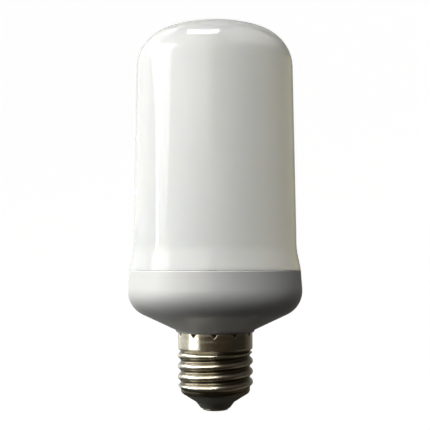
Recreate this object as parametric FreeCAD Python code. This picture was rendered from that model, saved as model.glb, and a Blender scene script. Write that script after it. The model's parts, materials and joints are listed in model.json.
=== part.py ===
import FreeCAD, Part
import math
import os

# A flame effect lamp on a medium screw cap, standing on its axis with the cap down.
# Millimetres. +Z runs from the end contact to the dome, and the origin is the centre of the
# end contact's flat face. The round pieces are turned about Z, the driver board lies in X-Z.

# Clearances
slide_gap = 0.05
seat_gap = 0.1
part_gap = 0.4
spigot_gap = 0.25
flange_gap = 0.5
edge_reach_limit = 0.98

# Whole lamp
overall_length = 136.0

# Screw cap: rolled shell, black insulator and end contact
cap_height = 27.0
collar_step = 0.97
collar_length = 5.7
shell_thickness = 0.3
thread_major_radius = 13.2
thread_depth = 1.07
thread_pitch = 3.629
thread_bottom = 7.5
thread_crest_height = 9.67
thread_base_share = 0.47
thread_crown_share = 0.06
thread_flank_facets = 4
thread_root_bite = 0.08
lip_radius = 7.2
lip_height = 3.0
curl_height = 6.1
curl_round = 1.6
stake_count = 11
stake_height = 1.8
stake_radius = 1.3
stake_offset = 0.2
stake_overrun = 0.45
stake_first_angle = -91.8
contact_radius = 4.6
contact_thickness = 0.7
contact_round = 0.45
stem_radius = 1.9
stem_bore_radius = 0.7
insulator_foot_radius = 5.2
insulator_flange_gap = 1.23
insulator_flange_thickness = 1.6
insulator_hub_radius = 4.0
insulator_hub_height = 5.2

# Base housing
housing_wall = 1.8
neck_overhang = 0.6
neck_height = 0.6
neck_fillet = 0.9
cone_drop = 12.9
belly_swell = 0.45
belly_drop = 6.5
belly_round = 9.0
seam_radius = 30.1
seam_height = 48.5
seam_round = 0.25
spigot_wall = 1.4
spigot_bottom = 10.0
rail_length = 2.6
rail_width = 1.0
rail_stop_height = 2.0
boss_radius = 3.0
boss_count = 3
boss_first_angle = 30.0
pilot_spare = 2.0

# Diffuser cover
cover_wall = 1.5
flare_step = 1.4
flare_height = 7.3
flare_round = 15.0
draft_angle = 0.85
shoulder_radius = 13.5
crown_radius = 57.0
skirt_depth = 4.5
skirt_wall = 1.4
skirt_ledge = 0.6
bead_rise = 0.3
bead_width = 1.5
bead_drop = 2.8

# Light source: carrier tube with its printed boards and light packages
light_gap = 9.7
carrier_wall = 1.5
carrier_top_gap = 15.4
carrier_flange_drop = 2.0
carrier_flange_thickness = 1.8
carrier_ledge = 0.7
flex_thickness = 0.25
flex_rise = 7.2
flex_drop = 2.6
flex_seam_gap = 1.5
flex_tongue_gap = 1.15
flex_tongue_reach = 4.0
wire_slot_width = 6.4
wire_slot_height = 2.8
wire_slot_rise = 1.2
light_columns = 12
light_rows = 7
light_width = 2.8
light_length = 3.5
light_height = 0.8
end_board_thickness = 1.2
end_light_count = 3
end_light_circle_radius = 8.0
controller_side = 7.0
controller_height = 1.4
screw_shank_radius = 1.1
screw_head_radius = 2.3
screw_head_height = 1.4
screw_slot_width = 0.5
screw_slot_depth = 0.6
screw_slot_length = 3.2
screw_bite = 7.0

# Driver board and what is soldered on it. The shares are of the room on the board's wide head.
board_thickness = 1.2
board_stem_gap = 0.9
board_side_gap = 2.5
board_head_gap = 3.1
board_head_clearance = 2.2
input_capacitor_gap = 2.3
input_capacitor_length = 12.0
input_capacitor_bottom = 15.5
output_capacitor_radius_share = 0.24
output_capacitor_length_share = 0.62
output_capacitor_place_share = -0.55
core_length_share = 0.7
core_height_share = 0.54
core_depth_share = 0.56
core_place_share = 0.4
core_leg_share = 0.2
winding_margin = 0.15
pin_row_height = 2.2
choke_waist_share = 0.8
choke_length = 7.5
choke_flange = 1.2
rectifier_width = 4.8
rectifier_length = 4.0
rectifier_depth = 2.4
driver_chip_width = 5.0
driver_chip_length = 4.0
driver_chip_depth = 1.5
diode_width = 4.4
diode_length = 2.6
diode_depth = 2.1
leg_thickness = 0.25
leg_width = 0.4
chip_leg_rows = 4
resistor_count = 5
resistor_width = 1.6
resistor_length = 3.2
resistor_depth = 0.6
resistor_pitch = 3.0
fuse_radius = 2.0
fuse_length = 9.0
fuse_bottom = 16.5
fuse_lead = 2.5
lead_radius = 0.35

# Wires
wire_radius = 0.6
neutral_wire_radius = 0.45
wire_bend = 1.6
neutral_bend_room = 0.3
neutral_rail_gap = 1.6
neutral_pad_height = 15.0
neutral_wire_lap = 6.0
led_wire_place = 1.6
led_wire_foot_share = 0.3
led_wire_lap = 3.0

# Sizes that follow from the ones above
ORIGIN = FreeCAD.Vector(0, 0, 0)
UP = FreeCAD.Vector(0, 0, 1)
ALONG_Y = FreeCAD.Vector(0, 1, 0)
thread_minor_radius = thread_major_radius - thread_depth
shell_inner_radius = thread_minor_radius - shell_thickness
collar_radius = thread_minor_radius + collar_step
collar_inner_radius = collar_radius - shell_thickness
collar_bottom = cap_height - collar_length
thread_top = collar_bottom - collar_step
curl_slope = math.atan2(curl_height - lip_height, thread_minor_radius - lip_radius)
inner_lip_radius = lip_radius - shell_thickness * math.sin(curl_slope)
inner_lip_height = lip_height + shell_thickness * math.cos(curl_slope)
insulator_flange_radius = shell_inner_radius - insulator_flange_gap
spigot_radius = shell_inner_radius - spigot_gap
spigot_collar_radius = collar_inner_radius - slide_gap
bore_radius = spigot_radius - spigot_wall
neck_radius = collar_radius + neck_overhang
neck_top = cap_height + neck_height
belly_radius = seam_radius + belly_swell
belly_height = seam_height - belly_drop
cone_slope = math.atan2(seam_height - cone_drop - neck_top, belly_radius - neck_radius)
rim_inner_radius = seam_radius - housing_wall
skirt_radius = rim_inner_radius - seat_gap
skirt_inner_radius = skirt_radius - skirt_wall
skirt_bottom = seam_height - skirt_depth
bead_bottom = seam_height - bead_drop - bead_width
flare_top_radius = seam_radius - flare_step
flare_top_height = seam_height + flare_height
boss_top = seam_height - carrier_flange_drop
pilot_depth = screw_bite + pilot_spare
flange_top = boss_top + carrier_flange_thickness
flange_radius = skirt_inner_radius - flange_gap
carrier_radius = flare_top_radius - light_gap
carrier_inner_radius = carrier_radius - carrier_wall
carrier_top = overall_length - carrier_top_gap
boss_circle_radius = (carrier_radius + flange_radius) / 2
ledge_radius = carrier_inner_radius + carrier_ledge
end_board_bottom = carrier_top - end_board_thickness
flex_inner_radius = carrier_radius + slide_gap
flex_radius = flex_inner_radius + flex_thickness
flex_tongue_width = 2 * (math.pi * flex_radius / light_columns - flex_tongue_gap) - light_width
flex_bottom = flange_top + flex_rise
flex_top = carrier_top - flex_drop
slot_bottom = flange_top + wire_slot_rise
slot_top = slot_bottom + wire_slot_height


def sloped(foot_radius, foot_height, slope, radius, above):
    """Height of a cone's face at a radius, raised square to that face by above."""
    return foot_height + (radius - foot_radius) * math.tan(slope) + above / math.cos(slope)


def curl_line(radius, above):
    """The screw shell's turned-in cone."""
    return sloped(lip_radius, lip_height, curl_slope, radius, above)


def cone_line(radius, above):
    """The housing's underside cone."""
    return sloped(neck_radius, neck_top, cone_slope, radius, above)


# Sizes and places on the driver board
board_face = board_thickness / 2
board_stem_half_width = bore_radius - board_stem_gap
board_head_half_width = boss_circle_radius - boss_radius - board_side_gap
board_bottom = spigot_bottom + rail_stop_height
board_head_bottom = cone_line(board_head_half_width, housing_wall) + board_head_gap
board_top = boss_top - board_head_clearance
head_middle = (board_head_bottom + board_top) / 2
head_room = board_top - board_head_bottom
lead_hole_height = fuse_bottom + fuse_length + fuse_lead
parts_bottom = lead_hole_height + lead_radius + part_gap
input_capacitor_radius = (bore_radius - board_face - input_capacitor_gap) / 2
output_capacitor_radius = output_capacitor_radius_share * board_head_half_width
output_capacitor_length = output_capacitor_length_share * board_head_half_width
output_capacitor_place = output_capacitor_place_share * board_head_half_width
output_capacitor_height = (board_head_bottom - board_head_gap + boss_top) / 2
core_length = core_length_share * board_head_half_width
core_height = core_height_share * board_head_half_width
core_depth = core_depth_share * head_room
core_place = core_place_share * board_head_half_width
core_leg = core_leg_share * core_length
core_foot = board_face + pin_row_height
choke_start = output_capacitor_place + output_capacitor_radius + part_gap
choke_end = core_place - core_length / 2 - part_gap
choke_radius = (choke_end - choke_start) / 2
choke_place = (choke_end + choke_start) / 2
choke_waist_radius = choke_waist_share * choke_radius
choke_height = parts_bottom + choke_radius
resistor_height = parts_bottom + resistor_length / 2
rectifier_height = parts_bottom + resistor_length + part_gap + rectifier_length / 2
driver_chip_place = (rectifier_width + diode_width) / 2 + 4 * leg_thickness + 2 * part_gap
fuse_axis = -(board_face + seat_gap + fuse_radius)
neutral_bend = neutral_wire_radius + slide_gap + neutral_bend_room
neutral_wire_place = bore_radius - rail_length - neutral_rail_gap
neutral_wire_offset = board_face + neutral_wire_radius + slide_gap
neutral_wire_angle = math.degrees(math.atan2(neutral_wire_offset, neutral_wire_place))
neutral_wire_top = spigot_bottom + neutral_wire_lap
led_wire_foot = led_wire_foot_share * head_room


def point(radius, height):
    """A point of a half section, drawn in the X-Z plane."""
    return FreeCAD.Vector(radius, 0, height)


def rounded_edges(corners, closed):
    """Straight runs joined by tangent arcs. A corner is (point, radius), with 0 for a sharp one."""
    count = len(corners)
    joints = []
    for index, (corner, radius) in enumerate(corners):
        before = corners[index - 1][0] - corner
        after = corners[(index + 1) % count][0] - corner
        at_end = not closed and index in (0, count - 1)
        if radius == 0 or at_end:
            joints.append((corner, None, corner))
            continue
        half_turn = (math.pi - before.getAngle(after)) / 2
        reach = radius * math.tan(half_turn)
        for side, neighbour in ((before, corners[index - 1]), (after, corners[(index + 1) % count])):
            share = edge_reach_limit if neighbour[1] == 0 else edge_reach_limit / 2
            reach = min(reach, share * side.Length)
        radius = reach / math.tan(half_turn)
        before.normalize()
        after.normalize()
        inward = (before + after).normalize()
        middle = corner + inward * (radius / math.cos(half_turn) - radius)
        joints.append((corner + before * reach, middle, corner + after * reach))
    edges = []
    for index in range(count):
        start, middle, end = joints[index]
        if middle is not None:
            edges.append(Part.Arc(start, middle, end).toShape())
        if not closed and index == count - 1:
            break
        following = joints[(index + 1) % count][0]
        if end.distanceToPoint(following) > 1e-6:
            edges.append(Part.LineSegment(end, following).toShape())
    return edges


def turned(corners):
    """Solid turned about Z from a closed half section of (radius, height, round) corners."""
    placed = [(point(radius, height), rounding) for radius, height, rounding in corners]
    section = Part.Face(Part.Wire(rounded_edges(placed, True)))
    return section.revolve(ORIGIN, UP, 360)


def turn_about_axis(shape, degrees):
    copy = shape.copy()
    copy.rotate(ORIGIN, UP, degrees)
    return copy


def ring_of(shape, count, first_angle):
    """Copies of one shape, spread evenly round the lamp's axis."""
    return [turn_about_axis(shape, first_angle + 360 * index / count) for index in range(count)]


def block(x_range, y_range, z_range):
    (x0, x1), (y0, y1), (z0, z1) = x_range, y_range, z_range
    return Part.makeBox(x1 - x0, y1 - y0, z1 - z0, FreeCAD.Vector(x0, y0, z0))


def centred(middle, width):
    return (middle - width / 2, middle + width / 2)


def wire_along(points, bend, radius):
    """A round wire along straight runs joined by tangent arcs."""
    path = Part.Wire(rounded_edges([(corner, bend) for corner in points], False))
    direction = points[1] - points[0]
    section = Part.Wire(Part.makeCircle(radius, points[0], direction))
    return path.makePipeShell([section], True, True)


# Screw cap

def thread_ridge():
    """The rolled thread's helical ridge, a wave in facets, chamfered where it runs out at both ends."""
    lowest = thread_crest_height - thread_pitch * math.ceil(
        (thread_crest_height - thread_bottom + thread_pitch) / thread_pitch)
    turns = (thread_top - lowest) / thread_pitch + 1
    foot = thread_minor_radius - thread_root_bite
    flank = []
    for step in range(thread_flank_facets + 1):
        share = thread_base_share - (thread_base_share - thread_crown_share) * step / thread_flank_facets
        wave = math.cos(math.pi * (share - thread_crown_share) / (0.5 - thread_crown_share))
        flank.append((foot + (thread_major_radius - foot) * (1 + wave) / 2, share * thread_pitch))
    outline = [point(radius, lowest - rise) for radius, rise in flank]
    outline += [point(radius, lowest + rise) for radius, rise in reversed(flank)]
    helix = Part.makeHelix(thread_pitch, turns * thread_pitch, thread_minor_radius)
    helix.translate(FreeCAD.Vector(0, 0, lowest))
    section = Part.makePolygon(outline + outline[:1])
    ridge = Part.Wire(helix).makePipeShell([section], True, True)
    inside = thread_minor_radius - 2 * shell_thickness
    grazing = thread_minor_radius + thread_root_bite
    outside = thread_major_radius + shell_thickness
    bottom = thread_bottom + slide_gap
    top = thread_top - slide_gap
    room = turned([
        (inside, bottom, 0),
        (grazing, bottom, 0),
        (outside, bottom + outside - grazing, 0),
        (outside, top - (outside - grazing) / 2, 0),
        (grazing, top, 0),
        (inside, top, 0),
    ])
    return ridge.common(room)


def stake_cones(growth):
    """Cones, point down, of the punch marks that stake the rim into the housing's neck."""
    height = stake_height + stake_overrun
    tip = FreeCAD.Vector(collar_radius + stake_offset, 0, cap_height - stake_height)
    top_radius = stake_radius * height / stake_height
    cone = Part.makeCone(growth, top_radius + growth, height, tip, UP)
    return ring_of(cone, stake_count, stake_first_angle)


def stakes_inside_rim(growth):
    """The stake cones' parts under the rim and behind the middle of the sheet."""
    room_radius = collar_radius - shell_thickness / 2
    room = Part.makeCylinder(room_radius, collar_length, point(0, collar_bottom), UP)
    return [cone.common(room) for cone in stake_cones(growth)]


def screw_shell():
    """Shell with its turned-in end, thread and plain collar, staked round the rim."""
    curl = turned([
        (lip_radius, lip_height, 0),
        (thread_minor_radius, curl_height, curl_round),
        (thread_minor_radius, thread_bottom, 0),
        (shell_inner_radius, thread_bottom, 0),
        (shell_inner_radius, curl_line(shell_inner_radius, shell_thickness), curl_round - shell_thickness),
        (inner_lip_radius, inner_lip_height, 0),
    ])
    thread_length = thread_top - thread_bottom
    foot = point(0, thread_bottom)
    thread = Part.makeCylinder(thread_minor_radius, thread_length, foot, UP).fuse(thread_ridge())
    thread = thread.cut(Part.makeCylinder(shell_inner_radius, thread_length, foot, UP))
    collar = turned([
        (thread_minor_radius, thread_top, 0),
        (collar_radius, collar_bottom, 0),
        (collar_radius, cap_height, 0),
        (collar_inner_radius, cap_height, 0),
        (collar_inner_radius, collar_bottom, 0),
        (shell_inner_radius, thread_top, 0),
    ])
    staked = collar.fuse(stakes_inside_rim(shell_thickness)).cut(stake_cones(0))
    return staked.fuse([thread, curl])


def cap_insulator():
    passage = inner_lip_radius - slide_gap
    lift = shell_thickness + slide_gap
    flange_top_height = curl_line(insulator_flange_radius, lift) + insulator_flange_thickness
    flange_step = flange_top_height - insulator_hub_height
    return turned([
        (stem_radius + slide_gap, contact_thickness, 0),
        (insulator_foot_radius, contact_thickness, contact_round / 2),
        (passage, lip_height, 0),
        (passage, curl_line(passage, lift), 0),
        (insulator_flange_radius, curl_line(insulator_flange_radius, lift), 0),
        (insulator_flange_radius, flange_top_height, 0),
        (insulator_hub_radius + flange_step, flange_top_height, 0),
        (insulator_hub_radius, insulator_hub_height, 0),
        (stem_radius + slide_gap, insulator_hub_height, 0),
    ])


def centre_contact():
    """Flat head with a hollow stem that is pushed into the insulator and pinches the live wire."""
    stem_top = insulator_hub_height - contact_thickness
    return turned([
        (0, 0, 0),
        (contact_radius, 0, contact_round),
        (contact_radius, contact_thickness, 0),
        (stem_radius, contact_thickness, 0),
        (stem_radius, stem_top, 0),
        (stem_bore_radius, stem_top, 0),
        (stem_bore_radius, 2 * contact_thickness, 0),
        (0, 2 * contact_thickness, 0),
    ])


# Base housing

def board_rails():
    """Two pairs of ribs in the neck's bore that hold the driver board's edges, with a stop below."""
    inner = bore_radius - rail_length
    outer = bore_radius + spigot_wall / 2
    slot = board_face + slide_gap
    rails = []
    for side in (-1, 1):
        for face in (-1, 1):
            x_range = sorted((side * inner, side * outer))
            y_range = sorted((face * slot, face * (slot + rail_width)))
            rails.append(block(x_range, y_range, (spigot_bottom, cap_height)))
        x_range = sorted((side * inner, side * outer))
        rails.append(block(x_range, (-slot, slot), (spigot_bottom, board_bottom)))
    return rails


def base_housing():
    inner_cone_corner = cone_line(rim_inner_radius, housing_wall)
    bead_gap = bead_bottom - seat_gap
    groove_radius = rim_inner_radius + bead_rise
    groove_top = bead_gap + bead_width + 2 * seat_gap
    body = turned([
        (spigot_radius, spigot_bottom, 0),
        (spigot_radius, thread_top, 0),
        (spigot_collar_radius, collar_bottom, 0),
        (spigot_collar_radius, cap_height, 0),
        (neck_radius, cap_height, 0),
        (neck_radius, neck_top, neck_fillet),
        (belly_radius, cone_line(belly_radius, 0), belly_round),
        (belly_radius, belly_height, 0),
        (seam_radius, seam_height, seam_round),
        (rim_inner_radius, seam_height, 0),
        (rim_inner_radius, groove_top, 0),
        (groove_radius, groove_top - bead_rise, 0),
        (groove_radius, bead_gap + bead_rise, 0),
        (rim_inner_radius, bead_gap, 0),
        (rim_inner_radius, inner_cone_corner, belly_round - housing_wall),
        (bore_radius, cone_line(bore_radius, housing_wall), 0),
        (bore_radius, spigot_bottom, 0),
    ])
    cavity = turned([
        (0, cone_line(0, housing_wall / 2), 0),
        (rim_inner_radius, cone_line(rim_inner_radius, housing_wall / 2), 0),
        (rim_inner_radius, boss_top, 0),
        (0, boss_top, 0),
    ])
    boss = Part.makeCylinder(boss_radius, boss_top, point(boss_circle_radius, 0), UP).common(cavity)
    bosses = ring_of(boss, boss_count, boss_first_angle)
    pilot_foot = point(boss_circle_radius, boss_top - pilot_depth)
    pilot = Part.makeCylinder(screw_shank_radius + slide_gap, 2 * pilot_depth, pilot_foot, UP)
    pilots = ring_of(pilot, boss_count, boss_first_angle)
    groove_depth = neutral_wire_radius + slide_gap
    groove_centre = shell_inner_radius - slide_gap - neutral_wire_radius
    groove = block(
        (groove_centre - groove_depth, collar_radius),
        centred(0, 2 * groove_depth),
        (spigot_bottom, neutral_wire_top + seat_gap))
    groove = turn_about_axis(groove, neutral_wire_angle)
    neck_marks = stakes_inside_rim(shell_thickness + slide_gap)
    return body.fuse(bosses + board_rails()).cut(pilots + [groove] + neck_marks)


# Diffuser cover

def dome(inset):
    """Foot and top of the cover's drafted wall, then its shoulder and crown, set in by inset."""
    draft = math.radians(draft_angle)
    outward = point(math.cos(draft), math.sin(draft))
    upward = point(-math.sin(draft), math.cos(draft))
    foot = point(flare_top_radius, flare_top_height)
    crown_centre = point(0, overall_length - crown_radius)
    start = foot - outward * shoulder_radius
    from_crown = start - crown_centre
    along = from_crown.dot(upward)
    reach = crown_radius - shoulder_radius
    climb = -along + math.sqrt(along ** 2 - from_crown.Length ** 2 + reach ** 2)
    shoulder_centre = start + upward * climb
    crown_direction = (shoulder_centre - crown_centre).normalize()
    middle_direction = (outward + crown_direction).normalize()
    small = shoulder_radius - inset
    large = crown_radius - inset
    wall_foot = foot - outward * inset
    wall_top = shoulder_centre + outward * small
    shoulder_middle = shoulder_centre + middle_direction * small
    shoulder_top = shoulder_centre + crown_direction * small
    crown_middle = crown_centre + (crown_direction + UP).normalize() * large
    apex = crown_centre + UP * large
    return wall_foot, wall_top, [
        Part.Arc(wall_top, shoulder_middle, shoulder_top).toShape(),
        Part.Arc(shoulder_top, crown_middle, apex).toShape(),
    ]


def diffuser_cover():
    outer_foot, outer_top, outside = dome(0)
    inner_foot, inner_top, inside = dome(cover_wall)
    flare_slope = (seam_radius - flare_top_radius) / (flare_top_height - seam_height)
    pocket_foot = seam_height + skirt_ledge
    pocket_rise = seam_radius - cover_wall - skirt_inner_radius
    pocket_top = pocket_foot + pocket_rise
    pocket_radius = seam_radius - flare_slope * (pocket_top - seam_height) - cover_wall
    bead_radius = skirt_radius + bead_rise
    lower = rounded_edges([
        (inner_top, 0),
        (inner_foot, flare_round + cover_wall),
        (point(pocket_radius, pocket_top), 0),
        (point(skirt_inner_radius, pocket_foot), 0),
        (point(skirt_inner_radius, skirt_bottom), 0),
        (point(skirt_radius, skirt_bottom), 0),
        (point(skirt_radius, bead_bottom), 0),
        (point(bead_radius, bead_bottom + bead_rise), 0),
        (point(bead_radius, bead_bottom + bead_width - bead_rise), 0),
        (point(skirt_radius, bead_bottom + bead_width), 0),
        (point(skirt_radius, seam_height), 0),
        (point(seam_radius - seam_round, seam_height), 0),
        (point(seam_radius, seam_height + seam_round), 0),
        (outer_foot, flare_round),
        (outer_top, 0),
    ], False)
    axis = Part.LineSegment(outside[-1].Vertexes[-1].Point, inside[-1].Vertexes[-1].Point).toShape()
    section = Part.Wire(lower + outside + [axis] + inside[::-1])
    return Part.Face(section).revolve(ORIGIN, UP, 360)


# Light source

def led_carrier():
    tube = turned([
        (carrier_inner_radius, boss_top, 0),
        (flange_radius, boss_top, 0),
        (flange_radius, flange_top, 0),
        (carrier_radius, flange_top, 0),
        (carrier_radius, carrier_top, 0),
        (ledge_radius, carrier_top, 0),
        (ledge_radius, end_board_bottom, 0),
        (carrier_inner_radius, end_board_bottom, 0),
    ])
    hole = Part.makeCylinder(
        screw_shank_radius + seat_gap, 2 * carrier_flange_thickness,
        point(boss_circle_radius, boss_top - carrier_flange_thickness / 2), UP)
    slot = block(centred(0, wire_slot_width), (0, 2 * carrier_radius), (slot_bottom, slot_top))
    return tube.cut(ring_of(hole, boss_count, boss_first_angle) + [slot])


def flex_led_board():
    """Printed sheet wrapped round the carrier, with a tongue folded over onto the end board."""
    sheet = turned([
        (flex_inner_radius, flex_bottom, 0),
        (flex_radius, flex_bottom, 0),
        (flex_radius, flex_top, 0),
        (flex_inner_radius, flex_top, 0),
    ])
    seam = block((0, 2 * carrier_radius), centred(0, flex_seam_gap), (flange_top, carrier_top))
    width = centred(0, flex_tongue_width)
    top = carrier_top + flex_thickness
    upright = block((-flex_radius, -flex_inner_radius), width, (flex_top - flex_tongue_width, top))
    folded = block((-flex_radius, -carrier_radius + flex_tongue_reach), width, (carrier_top, top))
    return sheet.cut(seam).fuse([upright, folded])


def side_leds():
    """Rows and columns of flat light packages standing on the wrapped sheet."""
    row_pitch = (flex_top - flex_bottom - 2 * light_length) / (light_rows - 1)
    packages = []
    for row in range(light_rows):
        height = flex_bottom + light_length + row * row_pitch
        reach = (flex_radius, flex_radius + light_height)
        package = block(reach, centred(0, light_width), centred(height, light_length))
        packages += ring_of(package, light_columns, 180 / light_columns)
    return Part.makeCompound(packages)


def end_led_board():
    return Part.makeCylinder(ledge_radius - seat_gap, end_board_thickness, point(0, end_board_bottom), UP)


def end_leds():
    package = block(
        centred(end_light_circle_radius, light_length), centred(0, light_width),
        (carrier_top, carrier_top + light_height))
    return Part.makeCompound(ring_of(package, end_light_count, 0))


def controller_chip():
    side = centred(0, controller_side)
    return block(side, side, (end_board_bottom - controller_height, end_board_bottom))


def carrier_screws():
    shank = Part.makeCylinder(
        screw_shank_radius, screw_bite + carrier_flange_thickness,
        point(boss_circle_radius, boss_top - screw_bite), UP)
    head = Part.makeCylinder(screw_head_radius, screw_head_height, point(boss_circle_radius, flange_top), UP)
    top = flange_top + screw_head_height
    depth = (top - screw_slot_depth, top)
    slots = [
        block(centred(boss_circle_radius, screw_slot_length), centred(0, screw_slot_width), depth),
        block(centred(boss_circle_radius, screw_slot_width), centred(0, screw_slot_length), depth),
    ]
    screw = shank.fuse(head).cut(slots)
    return Part.makeCompound(ring_of(screw, boss_count, boss_first_angle))


# Driver board

def driver_board():
    """Stepped board: its stem stands in the neck's rails and its head fills the wide housing."""
    stem_top = cone_line(board_stem_half_width, housing_wall) + board_head_gap
    half = [
        (board_stem_half_width, board_bottom),
        (board_stem_half_width, stem_top),
        (board_head_half_width, board_head_bottom),
        (board_head_half_width, board_top),
    ]
    outline = [point(x, z) for x, z in half] + [point(-x, z) for x, z in reversed(half)]
    for corner in outline:
        corner.y = -board_face
    board = Part.Face(Part.makePolygon(outline + outline[:1])).extrude(ALONG_Y * board_thickness)
    hole = Part.makeCylinder(
        lead_radius + slide_gap, 2 * board_thickness,
        FreeCAD.Vector(0, -board_thickness, lead_hole_height), ALONG_Y)
    return board.cut(hole)


def on_back(width, length, depth, x, z):
    """A block standing on the board's -Y face."""
    return block(centred(x, width), (-board_face - depth, -board_face), centred(z, length))


def with_legs(body, x, z, width, leg_rows):
    """A moulded chip with flat legs down to the board on both sides."""
    reach = width / 2 + 2 * leg_thickness
    legs = [on_back(2 * reach, leg_width, leg_thickness, x, z + offset) for offset in leg_rows]
    return body.fuse(legs)


def can_capacitor(radius, length, foot, direction):
    """An aluminium can with its rolled bead near the foot."""
    bead = radius / 6
    section = [
        (0, 0, 0),
        (radius, 0, 0),
        (radius, bead, 0),
        (radius - bead / 2, 1.5 * bead, 0),
        (radius, 2 * bead, 0),
        (radius, length, bead),
        (0, length, 0),
    ]
    can = turned(section)
    can.Placement = FreeCAD.Placement(foot, FreeCAD.Rotation(UP, direction))
    return can


def input_capacitor():
    foot = FreeCAD.Vector(0, board_face + input_capacitor_radius + seat_gap, input_capacitor_bottom)
    return can_capacitor(input_capacitor_radius, input_capacitor_length, foot, UP)


def output_capacitor():
    foot = FreeCAD.Vector(output_capacitor_place, board_face, output_capacitor_height)
    return can_capacitor(output_capacitor_radius, output_capacitor_length, foot, ALONG_Y)


def transformer_core():
    """Two E halves closed round the winding: outer legs, back, front and the leg in the middle."""
    x_range = centred(core_place, core_length)
    y_range = (core_foot, core_foot + core_height)
    body = block(x_range, y_range, centred(head_middle, core_depth))
    window_length = (core_length - 3 * core_leg) / 2
    windows = []
    for side in (-1, 1):
        middle = core_place + side * (core_leg + window_length) / 2
        window_y = (core_foot + core_leg, core_foot + core_height - core_leg)
        windows.append(block(centred(middle, window_length), window_y, centred(head_middle, 2 * core_depth)))
    return body.cut(windows)


def transformer_winding():
    """Bobbin with its winding round the middle leg, standing on its pin rows."""
    window_length = (core_length - 3 * core_leg) / 2
    half_length = core_leg / 2 + window_length - winding_margin
    y_range = (core_foot + core_leg + winding_margin, core_foot + core_height - core_leg - winding_margin)
    leg_room = core_leg + 2 * slide_gap
    depth = core_depth + 2 * window_length
    winding = block(centred(core_place, 2 * half_length), y_range, centred(head_middle, depth))
    leg_depth = core_depth + 2 * slide_gap
    leg = block(centred(core_place, leg_room), (0, 2 * y_range[1]), centred(head_middle, leg_depth))
    winding = winding.cut(leg)
    rows = []
    for side in (-1, 1):
        z = head_middle + side * (core_depth / 2 + window_length / 2 + slide_gap)
        rows.append(block(
            centred(core_place, 2 * half_length), (board_face, y_range[0] + winding_margin),
            centred(z, window_length - 2 * slide_gap)))
    return winding.fuse(rows)


def choke():
    """Drum core with a wound waist, standing on the board."""
    drum = turned([
        (0, 0, 0),
        (choke_radius, 0, 0),
        (choke_radius, choke_flange, 0),
        (choke_waist_radius, choke_flange, 0),
        (choke_waist_radius, choke_length - choke_flange, 0),
        (choke_radius, choke_length - choke_flange, 0),
        (choke_radius, choke_length, 0),
        (0, choke_length, 0),
    ])
    foot = FreeCAD.Vector(choke_place, board_face, choke_height)
    drum.Placement = FreeCAD.Placement(foot, FreeCAD.Rotation(UP, ALONG_Y))
    return drum


def bridge_rectifier():
    body = on_back(rectifier_width, rectifier_length, rectifier_depth, 0, rectifier_height)
    rows = (-rectifier_length / 4, rectifier_length / 4)
    return with_legs(body, 0, rectifier_height, rectifier_width, rows)


def driver_chip():
    body = on_back(driver_chip_length, driver_chip_width, driver_chip_depth, driver_chip_place, head_middle)
    step = driver_chip_width / chip_leg_rows
    rows = [step * (index - (chip_leg_rows - 1) / 2) for index in range(chip_leg_rows)]
    return with_legs(body, driver_chip_place, head_middle, driver_chip_length, rows)


def output_diode():
    body = on_back(diode_width, diode_length, diode_depth, -driver_chip_place, head_middle)
    return with_legs(body, -driver_chip_place, head_middle, diode_width, (0,))


def chip_resistors():
    start = -resistor_pitch * (resistor_count - 1) / 2
    places = [start + resistor_pitch * index for index in range(resistor_count)]
    return Part.makeCompound([
        on_back(resistor_width, resistor_length, resistor_depth, x, resistor_height) for x in places])


def fusible_resistor():
    """Resistor that also is the fuse, upright behind the board, its top lead bent into the board."""
    foot = FreeCAD.Vector(0, fuse_axis, fuse_bottom)
    end_step = fuse_radius / 4
    body = turned([
        (0, 0, 0),
        (fuse_radius, 0, end_step),
        (fuse_radius, 2 * end_step, 0),
        (fuse_radius - end_step / 2, 3 * end_step, 0),
        (fuse_radius - end_step / 2, fuse_length - 3 * end_step, 0),
        (fuse_radius, fuse_length - 2 * end_step, 0),
        (fuse_radius, fuse_length, end_step),
        (0, fuse_length, 0),
    ])
    body.translate(foot)
    lower = Part.makeCylinder(lead_radius, fuse_lead, foot - UP * fuse_lead, UP)
    upper = wire_along([
        FreeCAD.Vector(0, fuse_axis, fuse_bottom + fuse_length - end_step),
        FreeCAD.Vector(0, fuse_axis, lead_hole_height),
        FreeCAD.Vector(0, board_face, lead_hole_height),
    ], wire_radius, lead_radius)
    return body.fuse([lower, upper])


# Wires

def live_wire():
    """From the fusible resistor's lower lead down into the end contact's stem."""
    top = fuse_bottom - fuse_lead
    return wire_along([
        FreeCAD.Vector(0, fuse_axis, top),
        FreeCAD.Vector(0, fuse_axis, top - (top - insulator_hub_height) / 3),
        FreeCAD.Vector(0, 0, insulator_hub_height + 2 * wire_bend),
        FreeCAD.Vector(0, 0, 2 * contact_thickness),
    ], wire_bend, wire_radius)


def neutral_wire():
    """From the board, under the spigot's edge and up its groove, where the shell pinches it."""
    angle = math.radians(neutral_wire_angle)
    direction = FreeCAD.Vector(math.cos(angle), math.sin(angle), 0)
    inner = direction * (neutral_wire_place / math.cos(angle))
    outer = direction * (shell_inner_radius - slide_gap - neutral_wire_radius)
    turn_height = spigot_bottom - neutral_bend
    return wire_along([
        inner + UP * neutral_pad_height,
        inner + UP * turn_height,
        outer + UP * turn_height,
        outer + UP * neutral_wire_top,
    ], neutral_bend, neutral_wire_radius)


def led_wire(side):
    """Supply wire up from the board, out through the carrier's slot and up to the wrapped sheet."""
    x = side * led_wire_place
    near = board_face + slide_gap + wire_radius
    far = flex_radius + slide_gap + wire_radius
    middle = (slot_bottom + slot_top) / 2
    return wire_along([
        FreeCAD.Vector(x, near, board_top - led_wire_foot),
        FreeCAD.Vector(x, near, middle),
        FreeCAD.Vector(x, far, middle),
        FreeCAD.Vector(x, far, flex_bottom + led_wire_lap),
    ], wire_bend, wire_radius)


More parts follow.
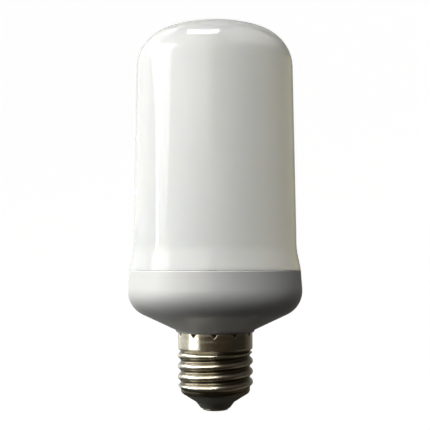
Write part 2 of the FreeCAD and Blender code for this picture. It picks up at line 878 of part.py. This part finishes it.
def led_wire_positive():
    return led_wire(1)


def led_wire_negative():
    return led_wire(-1)


NODES = [
    diffuser_cover, base_housing, screw_shell, cap_insulator, centre_contact,
    led_carrier, flex_led_board, side_leds, end_led_board, end_leds, controller_chip, carrier_screws,
    driver_board, input_capacitor, output_capacitor, transformer_core, transformer_winding, choke,
    bridge_rectifier, driver_chip, output_diode, chip_resistors, fusible_resistor,
    live_wire, neutral_wire, led_wire_positive, led_wire_negative,
]

os.makedirs("parts", exist_ok=True)
for node in NODES:
    shape = node()
    solids = len(shape.Solids)
    print(f"{node.__name__:22s} solids {solids:3d}  valid {shape.isValid()}  {shape.Volume:10.2f} mm3")
    shape.exportStep(f"parts/{node.__name__}.step")
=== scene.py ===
import json
import math

import bmesh
import bpy
from mathutils import Matrix, Vector


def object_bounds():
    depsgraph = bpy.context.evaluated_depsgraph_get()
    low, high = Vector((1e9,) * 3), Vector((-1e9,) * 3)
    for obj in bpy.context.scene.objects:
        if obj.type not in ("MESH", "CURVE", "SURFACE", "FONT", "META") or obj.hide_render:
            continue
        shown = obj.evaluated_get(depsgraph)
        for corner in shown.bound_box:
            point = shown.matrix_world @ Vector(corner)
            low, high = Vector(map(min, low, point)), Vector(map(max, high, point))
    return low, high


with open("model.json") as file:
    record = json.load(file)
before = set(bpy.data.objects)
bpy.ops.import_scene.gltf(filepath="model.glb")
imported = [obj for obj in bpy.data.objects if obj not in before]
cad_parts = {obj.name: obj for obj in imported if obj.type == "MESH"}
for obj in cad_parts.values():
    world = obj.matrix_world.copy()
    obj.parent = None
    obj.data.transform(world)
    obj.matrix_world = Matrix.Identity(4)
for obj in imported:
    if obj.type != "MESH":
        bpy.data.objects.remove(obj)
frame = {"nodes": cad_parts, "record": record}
cad_low, cad_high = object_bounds()

# Lengths are in metres, angles in degrees and colours linear

# Camera, fitted to the lamp's outline in the photograph
CAMERA_PLACE = Vector((0, -0.300, 0.0517))
CAMERA_PITCH = 3.1
CAMERA_ROLL = -0.12
CAMERA_LENS = 71.1
SENSOR_WIDTH = 36.0

BLACK = (0, 0, 0)
WHITE = (1, 1, 1)


# Materials

# How far light travels inside the diffuser's plastic, by colour
DIFFUSER_DEPTH = (0.003, 0.0028, 0.0025)
# The plate's colour is darkened by painted shade, with some wear, below the first of these
# distances from the axis (the thread's roots), and full above the second
ROOT_SHADE_RADIUS, SHADE_END_RADIUS = 0.0124, 0.0131
# How round the rolled sheet's folds look in the thread and at the collar above it, and the
# heights at which the thread's stop and the collar's begin
THREAD_FOLD, COLLAR_FOLD = 0.0009, 0.0003
THREAD_TOP, COLLAR_FOOT = 0.0212, 0.0222
# The insulator's black glass colour also covers the shell's turned-in lip, up to this height:
# partly the glass's edge, partly a painted dark reflection of the table below
BLACK_GLASS = (0.24, 0.232, 0.20)
DARK_LIP_TOP = 0.0056
DARK_LIP_BLUR = 0.0001
# The colour sockets of a Mix node, which has others of the same names
MIX_A, MIX_B, MIX_RESULT = 6, 7, 2


class Graph:
    """Node calls on the tree of a material or of the world. An input is a value or a socket."""

    def __init__(self, tree):
        self.nodes = tree.nodes
        self.links = tree.links

    def node(self, kind, inputs, **settings):
        node = self.nodes.new(kind)
        for name, value in settings.items():
            setattr(node, name, value)
        for socket, value in inputs.items():
            if isinstance(value, bpy.types.NodeSocket):
                self.links.new(value, node.inputs[socket])
            else:
                node.inputs[socket].default_value = value
        return node

    def ramp(self, value, stops):
        node = self.node("ShaderNodeValToRGB", {"Fac": value})
        elements = node.color_ramp.elements
        while len(elements) < len(stops):
            elements.new(0.5)
        for element, (position, colour) in zip(elements, stops):
            element.position = position
            element.color = (*colour, 1)
        return node.outputs["Color"]

    def mix(self, factor, first, second, blend="MIX"):
        inputs = {"Factor": factor, MIX_A: first, MIX_B: second}
        node = self.node("ShaderNodeMix", inputs, data_type="RGBA", blend_type=blend)
        return node.outputs[MIX_RESULT]


class Shader(Graph):
    """A Principled material whose patterns lie in the object's own coordinates."""

    def __init__(self, name, **values):
        self.material = bpy.data.materials.new(name)
        self.material.use_nodes = True
        super().__init__(self.material.node_tree)
        self.principled = self.nodes["Principled BSDF"]
        for socket, value in values.items():
            self.principled.inputs[socket.replace("_", " ")].default_value = value
        self.place = self.node("ShaderNodeTexCoord", {}).outputs["Object"]

    def link(self, source, socket):
        self.links.new(source, self.principled.inputs[socket])

    def stretched(self, scale):
        inputs = {"Vector": self.place, "Scale": scale}
        return self.node("ShaderNodeMapping", inputs).outputs["Vector"]

    def noise(self, scale, detail=3.0, place=None):
        inputs = {"Vector": place or self.place, "Scale": scale, "Detail": detail}
        return self.node("ShaderNodeTexNoise", inputs).outputs["Fac"]

    def between(self, value, low, high, start=0.3, end=0.7):
        """Low up to start, high from end, and even in between. Noise stays within the defaults."""
        inputs = {"Value": value, "From Min": start, "From Max": end, "To Min": low, "To Max": high}
        return self.node("ShaderNodeMapRange", inputs).outputs["Result"]

    def bump(self, height, strength, distance, under=None):
        inputs = {"Height": height, "Strength": strength, "Distance": distance}
        if under is not None:
            inputs["Normal"] = under
        return self.node("ShaderNodeBump", inputs).outputs["Normal"]

    def axis_distance(self):
        flat = self.stretched((1, 1, 0))
        return self.node("ShaderNodeVectorMath", {0: flat}, operation="LENGTH").outputs["Value"]

    def height(self):
        return self.node("ShaderNodeSeparateXYZ", {"Vector": self.place}).outputs["Z"]


def tint(colour, factor):
    return tuple(channel * factor for channel in colour)


def moulded(name, colour, roughness, grain, spread=0.03):
    """Moulded plastic: slightly uneven colour and gloss, and a fine eroded grain."""
    shader = Shader(name)
    cloud = shader.noise(45.0)
    shader.link(shader.ramp(cloud, [(0.3, tint(colour, 1 - spread)), (0.7, colour)]), "Base Color")
    shader.link(shader.between(cloud, roughness * 0.9, roughness * 1.1), "Roughness")
    eroded = shader.noise(grain, detail=2.0)
    shader.link(shader.bump(eroded, strength=0.25, distance=0.00004), "Normal")
    return shader.material


def metal(name, colour, roughness, grain):
    """Plated or drawn metal: one grain for its colour, its gloss and its surface."""
    shader = Shader(name, Metallic=1.0)
    cloud = shader.noise(grain, detail=4.0)
    shader.link(shader.ramp(cloud, [(0.3, tint(colour, 0.85)), (0.7, colour)]), "Base Color")
    shader.link(shader.between(cloud, roughness * 0.75, roughness * 1.25), "Roughness")
    shader.link(shader.bump(cloud, strength=0.08, distance=0.00004), "Normal")
    return shader.material


def milky_diffuser():
    """Glossy opal plastic: light spreads inside it, and its skin has the slow waves of moulding."""
    colour = (0.93, 0.925, 0.855)
    shader = Shader("milky_diffuser", Roughness=0.04, IOR=1.55, Subsurface_Weight=1.0,
                    Subsurface_Radius=DIFFUSER_DEPTH, Subsurface_Scale=1.0,
                    Coat_Weight=0.3, Coat_Roughness=0.03)
    cloud = shader.noise(30.0)
    shader.link(shader.ramp(cloud, [(0.3, tint(colour, 0.975)), (0.7, colour)]), "Base Color")
    waves = shader.noise(18.0, detail=0.0, place=shader.stretched((1.0, 1.0, 0.35)))
    waved = shader.bump(waves, strength=0.06, distance=0.004)
    grain = shader.noise(900.0, detail=1.0)
    shader.link(shader.bump(grain, strength=0.05, distance=0.00003, under=waved), "Normal")
    return shader.material


def plated_cap():
    """Nickel plate on rolled sheet: rounded folds, fine marks along the roll, and roots darkened by
    painted shade and some wear.

    The insulator's black glass colour is painted over the lip as well, partly for the glass's edge
    and partly as a painted dark reflection of the table below."""
    shader = Shader("plated_cap")
    # Painted shade: the plate colour darkens towards the thread's roots, nearer the axis, with some
    # wear on the crests
    rise = shader.between(shader.axis_distance(), 0.0, 1.0, ROOT_SHADE_RADIUS, SHADE_END_RADIUS)
    root_shade_and_wear = shader.ramp(rise, [
        (0.0, (0.24, 0.22, 0.175)), (0.4, (0.42, 0.39, 0.33)), (0.9, (0.88, 0.85, 0.77))])
    stains = shader.ramp(shader.noise(160.0), [(0.35, (0.80, 0.77, 0.68)), (0.65, WHITE)])
    plate = shader.mix(1.0, root_shade_and_wear, stains, blend="MULTIPLY")
    height = shader.height()
    # Painted dark reflection: below this height the lip takes the black glass colour and is not
    # metal, partly for the glass's edge
    bare = shader.between(
        height, 0.0, 1.0, DARK_LIP_TOP - DARK_LIP_BLUR, DARK_LIP_TOP + DARK_LIP_BLUR)
    shader.link(shader.mix(bare, (*BLACK_GLASS, 1), plate), "Base Color")
    shader.link(bare, "Metallic")
    marks = shader.noise(400.0, detail=4.0, place=shader.stretched((0.12, 0.12, 3.0)))
    shader.link(shader.between(marks, 0.14, 0.26), "Roughness")
    fold = shader.between(height, THREAD_FOLD, COLLAR_FOLD, THREAD_TOP, COLLAR_FOOT)
    folds = shader.node("ShaderNodeBevel", {"Radius": fold}, samples=8).outputs["Normal"]
    shader.link(shader.bump(marks, strength=0.10, distance=0.00005, under=folds), "Normal")
    return shader.material


FINISHES = {
    "diffuser": milky_diffuser(),
    "housing": moulded("housing_white", (0.80, 0.80, 0.775), 0.36, 3500.0),
    "cap_metal": plated_cap(),
    "cap_insulator": moulded("insulator_black", BLACK_GLASS, 0.30, 2500.0, spread=0.2),
    "contact_metal": metal("contact_plate", (0.74, 0.71, 0.62), 0.28, 500.0),
    "carrier": moulded("carrier_natural", (0.78, 0.78, 0.74), 0.5, 2500.0),
    "white_board": moulded("board_white", (0.84, 0.84, 0.81), 0.4, 1500.0),
    "led_package": moulded("light_package", (0.88, 0.80, 0.42), 0.35, 3000.0),
    "chip_black": moulded("chip_black", (0.030, 0.030, 0.032), 0.45, 6000.0, spread=0.2),
    "screw_metal": metal("screw_zinc", (0.62, 0.62, 0.60), 0.35, 700.0),
    "green_board": moulded("board_green", (0.05, 0.22, 0.08), 0.35, 1200.0, spread=0.15),
    "capacitor_sleeve": moulded("capacitor_sleeve", (0.05, 0.06, 0.11), 0.3, 800.0, spread=0.1),
    "ferrite": moulded("ferrite_grey", (0.10, 0.10, 0.10), 0.6, 5000.0, spread=0.2),
    "winding_tape": moulded("winding_tape", (0.83, 0.60, 0.08), 0.25, 900.0, spread=0.08),
    "resistor_coat": moulded("resistor_coat", (0.27, 0.50, 0.45), 0.55, 4000.0, spread=0.1),
    "wire_red": moulded("wire_red", (0.60, 0.04, 0.03), 0.35, 2000.0, spread=0.08),
    "wire_dark": moulded("wire_dark", (0.04, 0.04, 0.04), 0.35, 2000.0, spread=0.2),
}
for part in frame["record"]["subparts"]:
    frame["nodes"][part["node"]].material_slots[0].material = FINISHES[part["material_slot"]]


# Studio. Azimuth 0 is towards the camera and -90 towards the picture's left.

# The middle of the lamp, which the lights are aimed at
MIDDLE = Vector((0, 0, 0.075))

# Floor
FLOOR_RADIUS = 0.55
FLOOR_HOLE = 0.002
FLOOR_GAP = 0.0002
SWEEP_RADIUS = 0.25
SWEEP_STEPS = 12
WALL_TOP = 1.1
ROUND_STEPS = 96

# The room by azimuth, and the elevations between which its three rings run into each other
TABLE = [
    (-180, (0.03, 0.03, 0.025)),
    (-110, (0.10, 0.095, 0.08)),
    (-40, (0.03, 0.025, 0.02)),
    (60, (0.02, 0.017, 0.013)),
    (110, (0.12, 0.105, 0.08)),
    (180, (0.03, 0.03, 0.025)),
]
TABLE_TO_WALLS = (-22, -8)
WALLS = [
    (-180, (0.60, 0.60, 0.56)),
    (-140, (0.90, 0.90, 0.86)),
    (-115, (0.60, 0.60, 0.55)),
    (-62, (0.40, 0.38, 0.30)),
    (-45, (0.13, 0.11, 0.08)),
    (-25, (0.04, 0.032, 0.02)),
    (10, (0.035, 0.025, 0.016)),
    (70, (0.022, 0.020, 0.015)),
    (100, (0.022, 0.020, 0.015)),
    (128, (0.10, 0.095, 0.075)),
    (160, (0.25, 0.24, 0.21)),
    (180, (0.60, 0.60, 0.56)),
]
WALLS_TO_CEILING = (4, 14)
CEILING = [
    (-180, (0.5, 0.5, 0.48)),
    (-110, (0.8, 0.8, 0.77)),
    (-45, (1.2, 1.18, 1.05)),
    (-12, (1.3, 1.25, 1.12)),
    (-3, (0.25, 0.22, 0.18)),
    (20, (0.09, 0.075, 0.06)),
    (110, (0.04, 0.035, 0.03)),
    (140, (0.08, 0.075, 0.06)),
    (180, (0.5, 0.5, 0.48)),
]

# Lamps: name, azimuth, elevation, radiance, colour. Light that has scattered inside the milky
# cover comes out of it all round, so the cover has lamps of its own that stand for it.
LIGHT_DISTANCE = 0.9
LIGHT_SIZE = 0.6
COVER_LAMPS = [
    ("cover_front_lamp", -32, 50, 4.93, WHITE),
    ("cover_left_lamp", -65, 10, 0.85, WHITE),
    ("cover_back_left_lamp", -95, 10, 0.9, WHITE),
    ("cover_middle_lamp", 5, 8, 1.0, WHITE),
    ("cover_right_lamp", 42, -18, 1.5, (1, 0.98, 0.88)),
    ("cover_back_right_lamp", 118, -25, 1.7, (1, 0.91, 0.62)),
    ("cover_far_lamp", 180, -5, 2.8, WHITE),
    ("cover_low_lamp", -80, -30, 5.0, WHITE),
]
BODY_LAMPS = [
    ("window_lamp", -80, 50, 6.9, WHITE),
    ("front_lamp", -20, 50, 4.7, WHITE),
    ("back_lamp", 130, 10, 0.2, WHITE),
    ("far_lamp", 180, 0, 2.4, WHITE),
    ("low_lamp", -97, -12, 2.4, WHITE),
    ("low_back_lamp", 120, -45, 0.2, WHITE),
    ("floor_lamp", 0, -60, 0.1, WHITE),
]

# Patches of light that the gloss mirrors: name, four corners as azimuth and elevation, radiance
# at the bottom and at the top, colour
PANEL_DISTANCE = 1.3
PANEL_STEPS = 8
COVER_PANELS = [
    ("window", [(-84, -4), (-73, -4), (-66, 12), (-93, 12)], 0.3, 2.4, WHITE),
    ("sky", [(-93, 12), (-66, 12), (-60, 38), (-150, 38)], 1.9, 4.0, WHITE),
    ("window_post", [(-88, -1), (-84, -1), (-87, 12), (-91, 12)], 9.0, 5.0, WHITE),
    ("far_window", [(-150, 2), (-108, 2), (-108, 60), (-150, 60)], 0.3, 1.2, WHITE),
    ("window_sill", [(-86, -8), (-56, -8), (-56, -4), (-86, -4)], 2.0, 2.6, WHITE),
    ("back_wall", [(-179, -8), (-150, -8), (-150, 40), (-179, 40)], 0.25, 0.25, WHITE),
    ("brown_door", [(66, 0), (118, 0), (118, 20), (66, 20)], 0.22, 0.25, (1.0, 0.76, 0.36)),
    ("olive_wall", [(118, 0), (150, 0), (150, 20), (118, 20)], 0.25, 0.45, (1.0, 0.94, 0.60)),
    ("upper_wall", [(20, 38), (130, 32), (130, 75), (20, 75)], 0.4, 0.7, (1.0, 0.99, 0.95)),
]
BODY_PANELS = [
    ("window_low", [(-92, -4), (-72, -4), (-64, 12), (-92, 12)], 2.2, 3.0, WHITE),
    ("window_high", [(-128, 12), (-64, 12), (-60, 32), (-128, 32)], 4.0, 5.0, WHITE),
    ("pale_table", [(-86, -9), (-52, -9), (-52, -4), (-86, -4)], 2.2, 2.6, WHITE),
    ("pale_ceiling", [(-64, 6), (-14, 6), (16, 55), (-64, 55)], 1.2, 3.0, (1.0, 0.97, 0.88)),
]
ALL_PANELS = [
    ("ceiling_lamp", [(-70, 62), (4, 66), (30, 84), (-100, 72)], 7.0, 8.0, WHITE),
]


def backdrop():
    """Pale floor that sweeps up into a round wall, seen by the camera and not lighting the lamp."""
    profile = [Vector((FLOOR_HOLE, 0, 0)), Vector((FLOOR_RADIUS, 0, 0))]
    for step in range(1, SWEEP_STEPS + 1):
        angle = math.pi / 2 * step / SWEEP_STEPS
        out, up = SWEEP_RADIUS * math.sin(angle), SWEEP_RADIUS * (1 - math.cos(angle))
        profile.append(Vector((FLOOR_RADIUS + out, 0, up)))
    profile.append(Vector((FLOOR_RADIUS + SWEEP_RADIUS, 0, WALL_TOP)))
    mesh = bmesh.new()
    verts = [mesh.verts.new(corner) for corner in profile]
    edges = [mesh.edges.new(pair) for pair in zip(verts, verts[1:])]
    bmesh.ops.spin(
        mesh, geom=verts + edges, axis=(0, 0, 1), cent=(0, 0, 0), steps=ROUND_STEPS,
        angle=2 * math.pi, use_merge=True)
    data = bpy.data.meshes.new("backdrop")
    mesh.to_mesh(data)
    mesh.free()
    data.shade_smooth()
    wall = bpy.data.objects.new("backdrop", data)
    wall.location.z = cad_low.z - FLOOR_GAP
    wall.visible_diffuse = False
    wall.visible_glossy = False
    wall.visible_transmission = False
    wall.visible_shadow = False
    bpy.context.scene.collection.objects.link(wall)
    paper = Shader("pale_paper", Base_Color=(0.75, 0.75, 0.75, 1), Roughness=0.9,
                   Emission_Color=(1, 1, 1, 1), Emission_Strength=0.98)
    paper.link(paper.bump(paper.noise(900.0), strength=0.05, distance=0.0001), "Normal")
    data.materials.append(paper.material)
    return wall


def room():
    """Walls, ceiling and table round the lamp, brightest on the window's side."""
    world = bpy.data.worlds.new("room")
    world.use_nodes = True
    graph = Graph(world.node_tree)
    place = graph.node("ShaderNodeTexCoord", {}).outputs["Generated"]
    axes = graph.node("ShaderNodeSeparateXYZ", {"Vector": place}).outputs

    def calculate(operation, first, second):
        return graph.node("ShaderNodeMath", {0: first, 1: second}, operation=operation).outputs[0]

    def by_azimuth(ring):
        return graph.ramp(turn, [(azimuth / 360 + 0.5, colour) for azimuth, colour in ring])

    def by_elevation(start, end):
        low, high = (0.5 + 0.5 * math.sin(math.radians(angle)) for angle in (start, end))
        return graph.ramp(rise, [(low, BLACK), (high, WHITE)])

    azimuth = calculate("ARCTAN2", axes["X"], calculate("MULTIPLY", axes["Y"], -1.0))
    turn = calculate("ADD", calculate("DIVIDE", azimuth, 2 * math.pi), 0.5)
    rise = calculate("ADD", calculate("MULTIPLY", axes["Z"], 0.5), 0.5)
    upper = graph.mix(by_elevation(*WALLS_TO_CEILING), by_azimuth(WALLS), by_azimuth(CEILING))
    whole = graph.mix(by_elevation(*TABLE_TO_WALLS), by_azimuth(TABLE), upper)
    graph.links.new(whole, graph.nodes["Background"].inputs["Color"])
    bpy.context.scene.world = world
    world.cycles_visibility.diffuse = False


def direction(azimuth, elevation):
    side, rise = math.radians(azimuth), math.radians(elevation)
    return Vector((
        math.sin(side) * math.cos(rise), -math.cos(side) * math.cos(rise), math.sin(rise)))


def lit_group(name, nodes):
    group = bpy.data.collections.new(name)
    for node in nodes:
        group.objects.link(node)
    return group


def soft_light(name, azimuth, elevation, radiance, colour, lit):
    """A large square lamp aimed at the middle. Reflections show the room and the panels instead."""
    light = bpy.data.lights.new(name, "AREA")
    light.size = LIGHT_SIZE
    light.energy = radiance * math.pi * LIGHT_SIZE ** 2
    light.color = colour
    place = bpy.data.objects.new(name, light)
    way = direction(azimuth, elevation)
    place.location = MIDDLE + way * LIGHT_DISTANCE
    place.rotation_mode = "QUATERNION"
    place.rotation_quaternion = way.to_track_quat("Z", "Y")
    place.visible_camera = False
    place.visible_glossy = False
    place.light_linking.receiver_collection = lit
    bpy.context.scene.collection.objects.link(place)


def panel(name, corners, low, high, colour, lit):
    """A patch of light that only reflections show, added to what the room has behind it."""
    mesh = bmesh.new()
    rows = []
    for step in range(PANEL_STEPS + 1):
        rise = step / PANEL_STEPS
        row = []
        for stride in range(PANEL_STEPS + 1):
            run = stride / PANEL_STEPS
            angles = [
                (1 - rise) * ((1 - run) * a + run * b) + rise * ((1 - run) * d + run * c)
                for a, b, c, d in zip(*corners)]
            row.append(mesh.verts.new(MIDDLE + direction(*angles) * PANEL_DISTANCE))
        rows.append(row)
    for lower, upper in zip(rows, rows[1:]):
        for left in range(PANEL_STEPS):
            mesh.faces.new((lower[left], lower[left + 1], upper[left + 1], upper[left]))
    data = bpy.data.meshes.new(name)
    mesh.to_mesh(data)
    mesh.free()
    patch = bpy.data.objects.new(name, data)
    patch.visible_camera = False
    patch.visible_diffuse = False
    patch.visible_transmission = False
    patch.visible_shadow = False
    patch.light_linking.receiver_collection = lit
    bpy.context.scene.collection.objects.link(patch)
    heights = [vert.co.z for vert in data.vertices]
    glow = Shader(name)
    strength = glow.between(glow.height(), low, high, min(heights), max(heights))
    light = glow.node("ShaderNodeEmission", {"Color": (*colour, 1), "Strength": strength})
    clear = glow.node("ShaderNodeBsdfTransparent", {})
    both = glow.node("ShaderNodeAddShader", {0: light.outputs[0], 1: clear.outputs[0]})
    glow.links.new(both.outputs[0], glow.nodes["Material Output"].inputs["Surface"])
    glow.nodes.remove(glow.principled)
    data.materials.append(glow.material)


backdrop()
room()
cover = frame["nodes"]["diffuser_cover"]
cover_group = lit_group("lit_cover", [cover])
body_group = lit_group("lit_body", [node for node in frame["nodes"].values() if node is not cover])
for lamps, panels, group in (
        (COVER_LAMPS, COVER_PANELS, cover_group),
        (BODY_LAMPS, BODY_PANELS, body_group),
        ([], ALL_PANELS, None)):
    for lamp in lamps:
        soft_light(*lamp, group)
    for patch in panels:
        panel(*patch, group)

camera_data = bpy.data.cameras.new("camera")
camera_data.lens = CAMERA_LENS
camera_data.sensor_width = SENSOR_WIDTH
camera = bpy.data.objects.new("camera", camera_data)
camera.matrix_world = (
    Matrix.Translation(CAMERA_PLACE)
    @ Matrix.Rotation(math.radians(90 + CAMERA_PITCH), 4, "X")
    @ Matrix.Rotation(math.radians(CAMERA_ROLL), 4, "Z"))
bpy.context.scene.collection.objects.link(camera)
bpy.context.scene.camera = camera
bpy.context.scene.view_settings.view_transform = "Standard"
